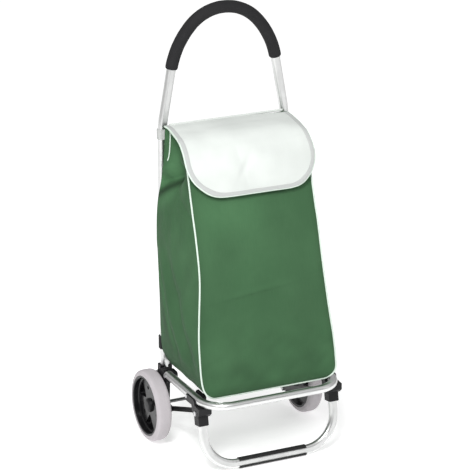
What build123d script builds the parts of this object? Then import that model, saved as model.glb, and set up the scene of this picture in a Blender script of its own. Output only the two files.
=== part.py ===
"""Two-wheeled shopping trolley: aluminium tube frame, green bag, white flap.

Millimetres, +X right, +Y to the back (the handle side), +Z up, floor at z = 0.
Every piece is its own solid, written to parts/<name>.step.
"""
import os
from math import atan2, cos, degrees, hypot, radians, sin

from build123d import *

os.makedirs("parts", exist_ok=True)

# ---------------------------------------------------------------- tube stock
TUBE_LONG = 21.0          # oval tube, long axis (lies in the plane of each bend)
TUBE_SHORT = 16.0
TUBE_WALL = 1.5
TUBE_ROUND = 7.0
GROOVE_PITCH = 9.0        # two lengthwise grooves on each broad face
GROOVE_R = 0.6

# ------------------------------------------------------------- handle (U)
HANDLE_Y = 108.0
HANDLE_HALF = 150.0
HANDLE_FOOT_Z = 150.0
HANDLE_BEND_Z = 735.0
HANDLE_BEND_R = 220.0
GRIP_HALF = 127.0
GRIP_END_Z = 862.5
HANDLE_TOP_Z = 990.0
GRIP_R = 14.0

# -------------------------------------------------------------- base loop
LOOP_HALF = 163.0
LOOP_Z = 164.0
LOOP_FRONT_Y = -164.0
LOOP_R = 58.5
LOOP_REAR_Y = 60.0
LOOP_SCREW_Y = 54.0       # screw that holds the loop in the rear bracket
CLAMP_RIVET_Y = -71.0     # rivet through the stand bracket and the loop
SCREW_R = 2.0

# ------------------------------------------------------------------ stand
STAND_HALF = 161.5
STAND_PIVOT_Y = -118.6
STAND_PIVOT_Z = 139.7
STAND_RAKE = 10.3         # degrees, foot forward of the pivot
STAND_R = 76.6
PAD_T = 1.9
PAD_SLOT = 12.0
SOCKET_WALL = 1.5
SOCKET_LEN = 29.5
SOCKET_FRONT = 8.8        # sleeve faces before and behind the leg's axis
SOCKET_REAR = 16.5

# ----------------------------------------------------------------- wheels
WHEEL_R = 82.5
WHEEL_OUT = 209.0
WHEEL_IN = 174.5
AXLE_Y = 92.0
AXLE_R = 4.0
HUB_R = 70.0
SPOKES = 3
WEB_OUT = 4.0             # faces of the hub's web, from the wheel's middle
WEB_IN = -6.0
POCKET_FLOOR = 2.0

# -------------------------------------------------------------------- bag
# level: height, front half width, rear half width, front y, rear y
BAG_LEVELS = [
    (172.5, 132.0, 130.0, -131.0, 84.0),
    (178.0, 146.0, 143.0, -135.5, 90.0),
    (192.0, 160.5, 152.0, -134.5, 95.0),
    (215.0, 164.5, 163.0, -127.0, 97.0),
    (264.0, 163.5, 164.5, -115.5, 97.0),
    (350.0, 157.0, 168.0, -98.5, 97.0),
    (440.0, 149.5, 171.0, -85.0, 97.0),
    (560.0, 147.5, 169.0, -51.0, 97.0),
    (660.0, 147.0, 154.0, -20.0, 97.0),
    (745.0, 146.0, 149.0, 6.0, 97.0),
]
BAG_WALL = 2.0
BAG_CORNER = 16.0
BAG_RIM_FRONT = (-8.0, 712.0)
BAG_RIM_REAR = (97.0, 738.0)

# ------------------------------------------------------------------- flap
FLAP_T = 2.4
FLAP_HINGE = (94.0, 740.6)
FLAP_PROFILE = [(7.0, 735.0), (-20.0, 716.0), (-38.0, 685.0), (-46.0, 655.0)]
FLAP_BOTTOM = (-50.0, 600.0)
FLAP_REAR_HALF = 150.0
FLAP_FRONT_HALF = 157.5
FLAP_CORNER = 78.0
FLAP_BIND = 11.0

# -------------------------------------------------------------- clearances
FIT = 0.1                 # tube in plastic, plug in hole
RUN = 0.05                # turning on a shaft, per side
GAP = 0.4                 # between parts that only pass each other
PIN_R = 3.0
SIDES = (("left", -1), ("right", 1))


def save(builder, name):
    builder.part.label = name
    export_step(builder.part, f"parts/{name}.step")


def tube_section(plane, grow=0.0, grooves=False):
    """Oval tube outline on a plane whose x axis is the long axis."""
    with BuildSketch(plane) as section:
        RectangleRounded(TUBE_LONG + 2 * grow, TUBE_SHORT + 2 * grow, TUBE_ROUND + grow)
        if grooves:
            with Locations(*[(sx * GROOVE_PITCH / 2, sy * TUBE_SHORT / 2)
                             for sx in (-1, 1) for sy in (-1, 1)]):
                Circle(GROOVE_R, mode=Mode.SUBTRACT)
    return section.sketch


def tube_room(plane, path):
    """The space a tube takes in the plastic parts round it."""
    with BuildPart() as room:
        sweep(sections=tube_section(plane, grow=FIT), path=path)
    return room


def hollow_tube(plane, path):
    with BuildPart() as bore:
        sweep(sections=tube_section(plane, grow=-TUBE_WALL), path=path)
    with BuildPart() as tube:
        sweep(sections=tube_section(plane, grooves=True), path=path)
        add(bore.part, mode=Mode.SUBTRACT)
    return tube


# ============================================================ handle tube
LEAN = atan2(HANDLE_HALF - GRIP_HALF, GRIP_END_Z - HANDLE_BEND_Z)
handle_plane = Plane.XZ.offset(-HANDLE_Y)


TOP_R = 110.0             # radius over the crown of the handle


def shoulder(half, rise, start, top_r):
    """Radius of the side arc, and the heading at which it meets the crown arc."""
    low, high = 0.05, start - 0.05
    for _ in range(60):
        turn = (low + high) / 2
        by_width = (half - top_r * sin(turn)) / (sin(start) - sin(turn))
        by_height = (rise - top_r * (1 - cos(turn))) / (cos(turn) - cos(start))
        low, high = (turn, high) if by_width < by_height else (low, turn)
    return by_width, turn


HEADING = radians(90) - LEAN
SIDE_R, MEET = shoulder(GRIP_HALF, HANDLE_TOP_Z - GRIP_END_Z, HEADING, TOP_R)


def on_side(heading):
    return (-GRIP_HALF + SIDE_R * (sin(HEADING) - sin(heading)),
            GRIP_END_Z + SIDE_R * (cos(heading) - cos(HEADING)))


def on_crown(heading):
    return (-TOP_R * sin(heading), HANDLE_TOP_Z - TOP_R * (1 - cos(heading)))


def arch_arcs():
    ThreePointArc((-GRIP_HALF, GRIP_END_Z), on_side((HEADING + MEET) / 2), on_crown(MEET))
    ThreePointArc(on_crown(MEET), on_crown(MEET / 2), (0, HANDLE_TOP_Z))


with BuildLine(handle_plane) as handle_path:
    FilletPolyline((-HANDLE_HALF, HANDLE_FOOT_Z), (-HANDLE_HALF, HANDLE_BEND_Z),
                   (-GRIP_HALF, GRIP_END_Z), radius=HANDLE_BEND_R)
    arch_arcs()
    mirror(about=Plane.YZ)
with BuildLine(handle_plane) as arch_path:
    arch_arcs()
    mirror(about=Plane.YZ)

foot_plane = Plane(origin=(-HANDLE_HALF, HANDLE_Y, HANDLE_FOOT_Z), x_dir=(1, 0, 0), z_dir=(0, 0, 1))
handle_wire = handle_path.wire()
handle_tube = hollow_tube(foot_plane, handle_wire)
handle_room = tube_room(foot_plane, handle_wire)
with handle_tube:
    with Locations((0, HANDLE_Y, HANDLE_FOOT_Z + 12)):
        Cylinder(PIN_R + FIT, 2 * HANDLE_HALF + 60, rotation=(0, 90, 0), mode=Mode.SUBTRACT)
save(handle_tube, "handle_tube")

# foam grip over the arch
grip_plane = Plane(origin=(-GRIP_HALF, HANDLE_Y, GRIP_END_Z),
                   x_dir=(cos(LEAN), 0, -sin(LEAN)), z_dir=(sin(LEAN), 0, cos(LEAN)))
with BuildPart() as handle_grip:
    with BuildSketch(grip_plane):
        Circle(GRIP_R)
    sweep(path=arch_path.wire())
    fillet(handle_grip.edges().filter_by(GeomType.CIRCLE).sort_by(Axis.Z)[:2], 3.0)
    add(handle_room.part, mode=Mode.SUBTRACT)
save(handle_grip, "handle_grip")

# ============================================================== base loop
loop_plane = Plane.XY.offset(LOOP_Z)
with BuildLine(loop_plane) as loop_path:
    FilletPolyline((-LOOP_HALF, LOOP_REAR_Y), (-LOOP_HALF, LOOP_FRONT_Y),
                   (LOOP_HALF, LOOP_FRONT_Y), (LOOP_HALF, LOOP_REAR_Y), radius=LOOP_R)
loop_start = Plane(origin=(-LOOP_HALF, LOOP_REAR_Y, LOOP_Z), x_dir=(1, 0, 0), z_dir=(0, -1, 0))
loop_wire = loop_path.wire()
base_loop = hollow_tube(loop_start, loop_wire)
loop_room = tube_room(loop_start, loop_wire)
with base_loop:
    with Locations(*[(0, y, LOOP_Z) for y in (LOOP_SCREW_Y, CLAMP_RIVET_Y)]):
        Cylinder(SCREW_R + FIT, 2 * LOOP_HALF + 60, rotation=(0, 90, 0), mode=Mode.SUBTRACT)
save(base_loop, "base_loop")

# ================================================================== stand
rake = radians(STAND_RAKE)
UP = (0, sin(rake), cos(rake))
FRONT = (0, -cos(rake), sin(rake))
stand_plane = Plane(origin=(0, STAND_PIVOT_Y, STAND_PIVOT_Z), x_dir=(1, 0, 0), z_dir=FRONT)
pad_round = TUBE_ROUND + PAD_T
BAR_Z = ((TUBE_LONG / 2 + PAD_T - pad_round) * cos(rake)
         + (TUBE_SHORT / 2 + PAD_T - pad_round) * sin(rake) + pad_round)
LEG = (STAND_PIVOT_Z - BAR_Z) / cos(rake)
LEG_TOP = 5.0             # tube end above the pivot, along the leg
SOCKET_TOP = 11.5
with BuildLine(stand_plane) as stand_path:
    FilletPolyline((-STAND_HALF, LEG_TOP), (-STAND_HALF, -LEG), (STAND_HALF, -LEG),
                   (STAND_HALF, LEG_TOP), radius=STAND_R)
stand_start = Plane(origin=stand_plane.from_local_coords((-STAND_HALF, LEG_TOP, 0)),
                    x_dir=(1, 0, 0), z_dir=(-UP[0], -UP[1], -UP[2]))
stand_wire = stand_path.wire()
stand_tube = hollow_tube(stand_start, stand_wire)
stand_room = tube_room(stand_start, stand_wire)
with stand_tube:
    with Locations((0, STAND_PIVOT_Y, STAND_PIVOT_Z)):
        Cylinder(PIN_R + RUN, 2 * STAND_HALF + 60, rotation=(0, 90, 0), mode=Mode.SUBTRACT)
save(stand_tube, "stand_tube")

# rubber foot: a C section clipped on the straight bar, open to the front
pad_len = 2 * (STAND_HALF - STAND_R) - 4
bar_y = STAND_PIVOT_Y - LEG * sin(rake)
pad_plane = Plane(origin=(-pad_len / 2, bar_y, BAR_Z), x_dir=FRONT, z_dir=(1, 0, 0))
with BuildPart() as foot_pad:
    with BuildSketch(pad_plane):
        RectangleRounded(TUBE_SHORT + 2 * PAD_T, TUBE_LONG + 2 * PAD_T, pad_round)
        RectangleRounded(TUBE_SHORT + 2 * FIT, TUBE_LONG + 2 * FIT, TUBE_ROUND + FIT,
                         mode=Mode.SUBTRACT)
        with Locations((TUBE_SHORT / 2 + PAD_T, 0)):
            Rectangle(2 * PAD_T + 6, PAD_SLOT, mode=Mode.SUBTRACT)
    extrude(amount=pad_len)
save(foot_pad, "foot_pad")

for side, s in SIDES:
    # sleeve on the top of each leg, turning on the pivot pin
    with BuildPart() as socket:
        with BuildSketch(Plane.YZ.offset(s * STAND_HALF)):
            with Locations((STAND_PIVOT_Y, STAND_PIVOT_Z)):
                Circle(SOCKET_TOP)
                with Locations(Rotation(0, 0, -STAND_RAKE)):
                    Polygon((-SOCKET_FRONT, 2), (SOCKET_TOP, 0), (SOCKET_REAR, -8),
                            (SOCKET_REAR, -SOCKET_LEN), (-SOCKET_FRONT, -SOCKET_LEN), align=None)
        extrude(amount=TUBE_LONG / 2 + SOCKET_WALL, both=True)
        upright = socket.edges().filter_by(lambda e: abs(e.tangent_at(0.5).dot(Vector(UP))) > 0.999)
        fillet(upright.group_by(Axis.Y)[0], 3.0)
        fillet(socket.faces().sort_by(Axis.Z)[0].edges(), 1.2)
        add(stand_room.part, mode=Mode.SUBTRACT)
        with Locations((s * STAND_HALF, STAND_PIVOT_Y, STAND_PIVOT_Z)):
            Cylinder(PIN_R + RUN, 60, rotation=(0, 90, 0), mode=Mode.SUBTRACT)
    save(socket, f"stand_socket_{side}")

# =============================================== plastic brackets, struts
CHEEK_IN = STAND_HALF - TUBE_LONG / 2 - SOCKET_WALL - GAP      # inner face of the inner cheek's gap
CHEEK_OUT = STAND_HALF + TUBE_LONG / 2 + SOCKET_WALL + GAP
CHEEK_T = 3.0
STRUT_X = CHEEK_IN - CHEEK_T - GAP                              # outer face of the strut
STRUT_T = 4.0
STRUT_H = 11.0
STRUT_REAR = (AXLE_Y, WHEEL_R - 18.0)
ARM_OUT = WHEEL_IN - 2.0
ARM_IN = ARM_OUT - 11.0
SEAT_IN = LOOP_HALF - TUBE_LONG / 2 - 4.0
SEAT_FOOT = LOOP_Z - TUBE_SHORT / 2 - 4.0
SEAT_FRONT = 39.0
SOCKET_FOOT = 144.0       # handle socket
SOCKET_HEAD = 170.0

for side, s in SIDES:
    # rear bracket: handle socket, seat for the end of the loop, arm down to the axle
    with BuildPart() as rear:
        with Locations((s * HANDLE_HALF, HANDLE_Y, (SOCKET_FOOT + SOCKET_HEAD) / 2)):
            Box(TUBE_LONG + 8, TUBE_SHORT + 8, SOCKET_HEAD - SOCKET_FOOT)
        fillet(rear.edges().filter_by(Axis.Z), 5)
        with Locations((s * HANDLE_HALF, HANDLE_Y - TUBE_SHORT / 2 - 5, SOCKET_HEAD)):
            Box(TUBE_LONG + 20, 10, 20, mode=Mode.SUBTRACT)
        # block behind the end of the loop
        with BuildSketch(Plane.YZ.offset(s * (ARM_OUT + SEAT_IN) / 2)):
            Polygon((LOOP_REAR_Y, SEAT_FOOT), (LOOP_REAR_Y, 170), (LOOP_REAR_Y + 5, 173), (82, 173),
                    (99, 164), (99, SEAT_FOOT), align=None)
        extrude(amount=(ARM_OUT - SEAT_IN) / 2, both=True)
        # inner cheek with a lip over the loop, and the plate under it
        with BuildSketch(Plane.YZ.offset(s * (SEAT_IN + LOOP_HALF - 6) / 2)):
            Polygon((SEAT_FRONT, SEAT_FOOT), (SEAT_FRONT, 171), (SEAT_FRONT + 4, 175), (64, 175),
                    (64, SEAT_FOOT), align=None)
        extrude(amount=(LOOP_HALF - 6 - SEAT_IN) / 2, both=True)
        with Locations((s * (ARM_OUT + SEAT_IN) / 2, (SEAT_FRONT + 64) / 2, SEAT_FOOT + 2)):
            Box(ARM_OUT - SEAT_IN, 64 - SEAT_FRONT, 4)
        with BuildSketch(Plane.YZ.offset(s * (ARM_OUT + ARM_IN) / 2)):
            Polygon((46, 156), (112, 156), (108, 120), (106, 82), (101, 60), (92, 55), (82, 58),
                    (68, 74), (56, 96), (53, 146), align=None)
            with Locations((0, 0)):
                Polygon((66, 144), (96, 144), (94, 104), (72, 104), align=None, mode=Mode.SUBTRACT)
        extrude(amount=(ARM_OUT - ARM_IN) / 2, both=True)
        with BuildSketch(Plane.YZ.offset(s * (ARM_IN + 1.5))):
            Polygon((64, 146), (98, 146), (96, 102), (70, 102), align=None)
        extrude(amount=1.5, both=True)
        # bosses for the axle and the strut pin
        with Locations((s * (ARM_IN + 151.0) / 2, AXLE_Y, WHEEL_R)):
            Cylinder(10, ARM_IN - 151.0 + 2, rotation=(0, 90, 0))
        with Locations((s * (ARM_IN + STRUT_X + GAP) / 2, *STRUT_REAR)):
            Cylinder(7.5, ARM_IN - STRUT_X - GAP + 0.01, rotation=(0, 90, 0))
        add(handle_room.part, mode=Mode.SUBTRACT)
        add(loop_room.part, mode=Mode.SUBTRACT)
        with Locations((s * WHEEL_IN, AXLE_Y, WHEEL_R)):
            Cylinder(AXLE_R + FIT, 80, rotation=(0, 90, 0), mode=Mode.SUBTRACT)
        with Locations((s * HANDLE_HALF, HANDLE_Y, HANDLE_FOOT_Z + 12)):
            Cylinder(PIN_R + FIT, TUBE_LONG + 8.2, rotation=(0, 90, 0), mode=Mode.SUBTRACT)
        with Locations((s * 158.0, *STRUT_REAR)):
            Cylinder(PIN_R + FIT, 40, rotation=(0, 90, 0), mode=Mode.SUBTRACT)
        with Locations((s * SEAT_IN, LOOP_SCREW_Y, LOOP_Z)):
            Cylinder(SCREW_R + FIT, 20, rotation=(0, 90, 0), mode=Mode.SUBTRACT)
    save(rear, f"rear_bracket_{side}")

    with BuildPart() as pin:
        with Locations((s * HANDLE_HALF, HANDLE_Y, HANDLE_FOOT_Z + 12)):
            Cylinder(PIN_R, TUBE_LONG + 5.6, rotation=(0, 90, 0))
    save(pin, f"handle_pin_{side}")

    with BuildPart() as screw:
        rail_out = LOOP_HALF + TUBE_LONG / 2
        with Locations((s * (SEAT_IN + rail_out) / 2, LOOP_SCREW_Y, LOOP_Z)):
            Cylinder(SCREW_R, rail_out - SEAT_IN, rotation=(0, 90, 0))
        with Locations((s * (rail_out + 0.9), LOOP_SCREW_Y, LOOP_Z)):
            Cylinder(4.5, 1.8, rotation=(0, 90, 0))
    save(screw, f"loop_screw_{side}")

    # stand bracket: saddle under the loop, its cheeks run down each side of the sleeve
    bracket_x = (CHEEK_OUT + CHEEK_IN) / 2
    bracket_w = CHEEK_OUT - CHEEK_IN + 2 * CHEEK_T
    under = LOOP_Z - TUBE_SHORT / 2
    with BuildPart() as clamp:
        with BuildSketch(Plane.YZ.offset(s * bracket_x)):
            Polygon((-137.5, 141), (-137.5, under - 0.5), (-114, under + 1), (-110, 166), (-106, 169),
                    (-69, 169), (-64, 164), (-64, under - 3), (-97, under - 3), (-101, 140),
                    (-109, 132.2), (-128, 132.2), align=None)
        extrude(amount=bracket_w / 2, both=True)
        # inner cheek stands a little higher than the loop
        with BuildSketch(Plane.YZ.offset(s * (CHEEK_IN - CHEEK_T / 2 + 1))):
            Polygon((-110, 160), (-110, 170), (-106, 173.5), (-69, 173.5), (-64, 169), (-64, 160),
                    align=None)
        extrude(amount=CHEEK_T / 2 + 1, both=True)
        # room for the sleeve, open below and to the back
        with Locations((s * STAND_HALF, -130.7 + 40, 122)):
            Box(CHEEK_OUT - CHEEK_IN, 80, 61, mode=Mode.SUBTRACT)
        add(loop_room.part, mode=Mode.SUBTRACT)
        with Locations((s * STAND_HALF, STAND_PIVOT_Y, STAND_PIVOT_Z)):
            Cylinder(PIN_R + FIT, 60, rotation=(0, 90, 0), mode=Mode.SUBTRACT)
        with Locations((s * STAND_HALF, CLAMP_RIVET_Y, LOOP_Z)):
            Cylinder(SCREW_R + FIT, 60, rotation=(0, 90, 0), mode=Mode.SUBTRACT)
    save(clamp, f"stand_bracket_{side}")

    pin_in = STRUT_X - STRUT_T - 2.0
    pin_out = CHEEK_OUT + CHEEK_T
    with BuildPart() as pivot:
        with Locations((s * (pin_in + pin_out + 0.4) / 2, STAND_PIVOT_Y, STAND_PIVOT_Z)):
            Cylinder(PIN_R, pin_out - pin_in + 0.4, rotation=(0, 90, 0))
        with Locations((s * (pin_out + 1.2), STAND_PIVOT_Y, STAND_PIVOT_Z)):
            Cylinder(5.5, 2.2, rotation=(0, 90, 0))
    save(pivot, f"stand_pin_{side}")

    cheek_in, cheek_out = CHEEK_IN - CHEEK_T, CHEEK_OUT + CHEEK_T
    with BuildPart() as clamp_rivet:
        with Locations((s * (cheek_in + cheek_out) / 2, CLAMP_RIVET_Y, LOOP_Z)):
            Cylinder(SCREW_R, cheek_out - cheek_in, rotation=(0, 90, 0))
        with Locations((s * (cheek_out + 0.8), CLAMP_RIVET_Y, LOOP_Z)):
            Cylinder(4.6, 1.6, rotation=(0, 90, 0))
    save(clamp_rivet, f"clamp_rivet_{side}")

    # strut: flat bar from the foot of the arm to the stand pin
    dy, dz = STAND_PIVOT_Y - STRUT_REAR[0], STAND_PIVOT_Z - STRUT_REAR[1]
    with BuildPart() as strut:
        with BuildSketch(Plane.YZ.offset(s * (STRUT_X - STRUT_T / 2))):
            with Locations(((STRUT_REAR[0] + STAND_PIVOT_Y) / 2, (STRUT_REAR[1] + STAND_PIVOT_Z) / 2)):
                Rectangle(hypot(dy, dz), STRUT_H, rotation=degrees(atan2(dz, dy)))
            with Locations(STRUT_REAR, (STAND_PIVOT_Y, STAND_PIVOT_Z)):
                Circle(8)
                Circle(PIN_R + FIT, mode=Mode.SUBTRACT)
        extrude(amount=STRUT_T / 2, both=True)
    save(strut, f"strut_{side}")

    with BuildPart() as rivet:
        with Locations((s * (STRUT_X - STRUT_T - 1.2), *STRUT_REAR)):
            Cylinder(5.5, 2.2, rotation=(0, 90, 0))
        with Locations((s * (STRUT_X - STRUT_T + 12), *STRUT_REAR)):
            Cylinder(PIN_R, 24.2, rotation=(0, 90, 0))
    save(rivet, f"strut_pin_{side}")

    # strap that ties the lower back corner of the bag to the tube
    for level, z, thick, tall in (("low", 225, 2.5, 30), ("high", 718, 1.3, 22)):
        with BuildPart() as strap:
            with Locations((s * HANDLE_HALF, HANDLE_Y, z)):
                Box(TUBE_LONG + 2 * thick, TUBE_SHORT + 2 * thick, tall)
            fillet(strap.edges().filter_by(Axis.Z), TUBE_ROUND)
            with Locations((s * (HANDLE_HALF - 12), HANDLE_Y - TUBE_SHORT / 2 - 1.4, z)):
                Box(26, 2.4, tall)
            add(handle_room.part, mode=Mode.SUBTRACT)
        save(strap, f"bag_strap_{level}_{side}")

# ================================================================== wheels
wheel_middle = (WHEEL_IN + WHEEL_OUT) / 2
axle_end = wheel_middle + 9.3
with BuildPart() as axle:
    with Locations((0, AXLE_Y, WHEEL_R)):
        Cylinder(AXLE_R, 2 * axle_end, rotation=(0, 90, 0))
save(axle, "axle")

for side, s in SIDES:
    wheel_mid = s * (WHEEL_IN + WHEEL_OUT) / 2
    half = (WHEEL_OUT - WHEEL_IN) / 2
    wheel_plane = Plane(origin=(wheel_mid, AXLE_Y, WHEEL_R), x_dir=(s, 0, 0), z_dir=(0, -s, 0))
    spin_axis = Axis((0, AXLE_Y, WHEEL_R), (1, 0, 0))

    with BuildPart() as tyre:
        with BuildSketch(wheel_plane):
            with BuildLine():
                Line((-half, HUB_R + FIT), (-half, WHEEL_R - 7))
                ThreePointArc((-half, WHEEL_R - 7), (-half + 2.6, WHEEL_R - 2.4), (-half + 8, WHEEL_R - 0.5))
                ThreePointArc((-half + 8, WHEEL_R - 0.5), (0, WHEEL_R), (half - 8, WHEEL_R - 0.5))
                ThreePointArc((half - 8, WHEEL_R - 0.5), (half - 2.6, WHEEL_R - 2.4), (half, WHEEL_R - 7))
                Polyline((half, WHEEL_R - 7), (half, HUB_R + FIT), (-half, HUB_R + FIT))
            make_face()
        revolve(axis=spin_axis)
    save(tyre, f"tyre_{side}")

    # hub: deep outer ring, thick web with three blind pockets, centre boss
    with BuildPart() as hub:
        with BuildSketch(wheel_plane):
            with BuildLine():
                Polyline((-half + 1, HUB_R), (half - 0.5, HUB_R), (half - 0.5, HUB_R - 4),
                         (half - 2, HUB_R - 5.5), (WEB_OUT + 2, HUB_R - 7), (WEB_OUT, HUB_R - 9),
                         (WEB_OUT, 13.8), (6, 13), (6, 6.05), (-half + 1.5, 6.05), (-half + 1.5, 13),
                         (WEB_IN, 18), (WEB_IN, HUB_R - 10), (-half + 1, HUB_R - 5), (-half + 1, HUB_R))
            make_face()
        revolve(axis=spin_axis)
        with BuildSketch(Plane(origin=(wheel_mid + s * (WEB_IN + POCKET_FLOOR), AXLE_Y, WHEEL_R),
                               x_dir=(0, 1, 0), z_dir=(s, 0, 0))) as pockets:
            with PolarLocations(0, SPOKES, start_angle=90):
                Polygon((21, 0), (80, 80 * sin(radians(33))), (80, -80 * sin(radians(33))), align=None)
            Circle(HUB_R - 12, mode=Mode.INTERSECT)
            fillet(pockets.vertices(), 4.5)
        extrude(amount=WEB_OUT - WEB_IN, mode=Mode.SUBTRACT)
        with BuildSketch(Plane(origin=(wheel_mid, AXLE_Y, WHEEL_R), x_dir=(0, 1, 0), z_dir=(1, 0, 0))):
            with PolarLocations(40, SPOKES, start_angle=78):
                Circle(4.0)
        extrude(amount=10, both=True, mode=Mode.SUBTRACT)
    save(hub, f"hub_{side}")

    boss_in, boss_out = WHEEL_IN + 1.5, (WHEEL_IN + WHEEL_OUT) / 2 + 6
    with BuildPart() as bush:
        with Locations((s * (boss_in + boss_out) / 2, AXLE_Y, WHEEL_R)):
            Cylinder(6.0, boss_out - boss_in, rotation=(0, 90, 0))
            Cylinder(AXLE_R + RUN, boss_out - boss_in, rotation=(0, 90, 0), mode=Mode.SUBTRACT)
    save(bush, f"bush_{side}")

    with BuildPart() as washer:
        with Locations((s * ((ARM_OUT + boss_in) / 2), AXLE_Y, WHEEL_R)):
            Cylinder(9.0, boss_in - ARM_OUT - 0.4, rotation=(0, 90, 0))
            Cylinder(AXLE_R + FIT, 10, rotation=(0, 90, 0), mode=Mode.SUBTRACT)
    save(washer, f"axle_washer_{side}")

    with BuildPart() as nut:
        with Locations((s * (boss_out + 1.3), AXLE_Y, WHEEL_R)):
            Cylinder(7.5, 2.0, rotation=(0, 90, 0))
            Cylinder(AXLE_R + FIT, 10, rotation=(0, 90, 0), mode=Mode.SUBTRACT)
    save(nut, f"push_nut_{side}")

    # domed cap snapped over the boss, clear of the nut
    with BuildPart() as cap:
        with BuildSketch(wheel_plane):
            with BuildLine():
                Polyline((WEB_OUT + 0.2, 14.2), (WEB_OUT + 0.2, 16.5), (9.0, 15.5), (11.6, 11), (12.4, 0),
                         (11.0, 0), (10.4, 9), (8.4, 13), (6.3, 14.1), (WEB_OUT + 0.2, 14.2))
            make_face()
        revolve(axis=spin_axis)
    save(cap, f"hub_cap_{side}")


# ===================================================================== bag
def bag_body(inset, floor):
    with BuildPart() as body:
        for i, (z, front, rear, y0, y1) in enumerate(BAG_LEVELS):
            level = z + (floor if i == 0 else 0)
            with BuildSketch(Plane.XY.offset(level)) as sk:
                Polygon((-front + inset, y0 + inset), (front - inset, y0 + inset),
                        (rear - inset, y1 - inset), (-rear + inset, y1 - inset), align=None)
                fillet(sk.vertices(), BAG_CORNER - inset)
        loft(ruled=True)
    return body


bag_outer = bag_body(0.0, 0.0)
bag_inner = bag_body(BAG_WALL, BAG_WALL)
with BuildPart() as bag_shell:
    add(bag_outer.part)
    add(bag_inner.part, mode=Mode.SUBTRACT)
    with BuildSketch(Plane.YZ):
        with BuildLine():
            Polyline((BAG_RIM_FRONT[0] - 40, BAG_RIM_FRONT[1] - 10), BAG_RIM_FRONT, BAG_RIM_REAR,
                     (120, BAG_RIM_REAR[1]), (120, 800), (BAG_RIM_FRONT[0] - 40, 800),
                     (BAG_RIM_FRONT[0] - 40, BAG_RIM_FRONT[1] - 10))
        make_face()
    extrude(amount=300, both=True, mode=Mode.SUBTRACT)
save(bag_shell, "bag_shell")

board_z = BAG_LEVELS[0][0] + BAG_WALL + 0.3
with BuildPart() as bag_board:
    with Locations((0, -24, board_z + 1.5)):
        Box(240, 196, 3)
    fillet(bag_board.edges().filter_by(Axis.Z), 12)
save(bag_board, "bag_board")

# piping along the two side edges of the front panel and across its foot
pipe_r = 1.7
lift = pipe_r + 0.3


def piping_points():
    pts = []
    for z, front, _, y0, _ in BAG_LEVELS[1:-1]:
        pts.append((-(front - BAG_CORNER * 0.30) - lift * 0.7, y0 + BAG_CORNER * 0.30 - lift * 0.7 - 0.8, z))
    return pts


left_line = piping_points()
foot_z, foot_y = BAG_LEVELS[0][0] + 3, BAG_LEVELS[0][3] - lift - 1.2
foot_x = BAG_LEVELS[0][1] - 18
run = ([(x, y, z) for x, y, z in left_line[::-1]]
       + [(-foot_x, foot_y, foot_z), (foot_x, foot_y, foot_z)]
       + [(-x, y, z) for x, y, z in left_line])
with BuildPart() as bag_piping:
    for p, q in zip(run[:-1], run[1:]):
        d = (q[0] - p[0], q[1] - p[1], q[2] - p[2])
        with BuildSketch(Plane(origin=p, z_dir=d)):
            Circle(pipe_r)
        extrude(amount=(d[0] ** 2 + d[1] ** 2 + d[2] ** 2) ** 0.5)
        with Locations(q):
            Sphere(pipe_r)
    add(bag_outer.part, mode=Mode.SUBTRACT)
save(bag_piping, "bag_piping")


# ==================================================================== flap
def flap_outline(inset):
    """Front view of the flap, used as a cutter along Y."""
    with BuildPart() as cutter:
        with BuildSketch(Plane.XZ.offset(-200)) as sk:
            with BuildLine():
                a, b = FLAP_REAR_HALF - inset, FLAP_FRONT_HALF - inset
                z = FLAP_BOTTOM[1] + inset
                Polyline((-a, 780), (-a, 742), (-b, 700), (-b, z), (b, z), (b, 700), (a, 742),
                         (a, 780), (-a, 780))
            make_face()
            low = sk.vertices().sort_by(Axis.Y)[:2]
            fillet(low, FLAP_CORNER - inset)
        extrude(amount=400)
    return cutter


with BuildPart() as flap_blank:
    with BuildSketch(Plane.YZ):
        with BuildLine():
            Spline((FLAP_HINGE[0] - 3.2, FLAP_HINGE[1] + 1.2), *FLAP_PROFILE, FLAP_BOTTOM,
                   tangents=((-1, -0.03), (0, -1)))
        trace(line_width=FLAP_T)
    extrude(amount=FLAP_FRONT_HALF + 5, both=True)

full = flap_outline(0.0)
inner = flap_outline(FLAP_BIND)
inner_gap = flap_outline(FLAP_BIND - 0.2)
with BuildPart() as flap_panel:
    add(flap_blank.part)
    add(inner.part, mode=Mode.INTERSECT)
save(flap_panel, "flap_panel")

with BuildPart() as flap_binding:
    add(flap_blank.part)
    add(full.part, mode=Mode.INTERSECT)
    add(inner_gap.part, mode=Mode.SUBTRACT)
save(flap_binding, "flap_binding")

# rolled hem on the hinge line at the back of the flap
with BuildPart() as flap_hem:
    with Locations((0, *FLAP_HINGE)):
        Cylinder(2.6, 2 * FLAP_REAR_HALF - 24, rotation=(0, 90, 0))
save(flap_hem, "flap_hem")

print("done")
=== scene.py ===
"""Finished look of the two-wheeled shopping cart: cloth, foam, tyres, hubs and studio."""
import math

import bpy
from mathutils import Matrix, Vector, noise


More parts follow.
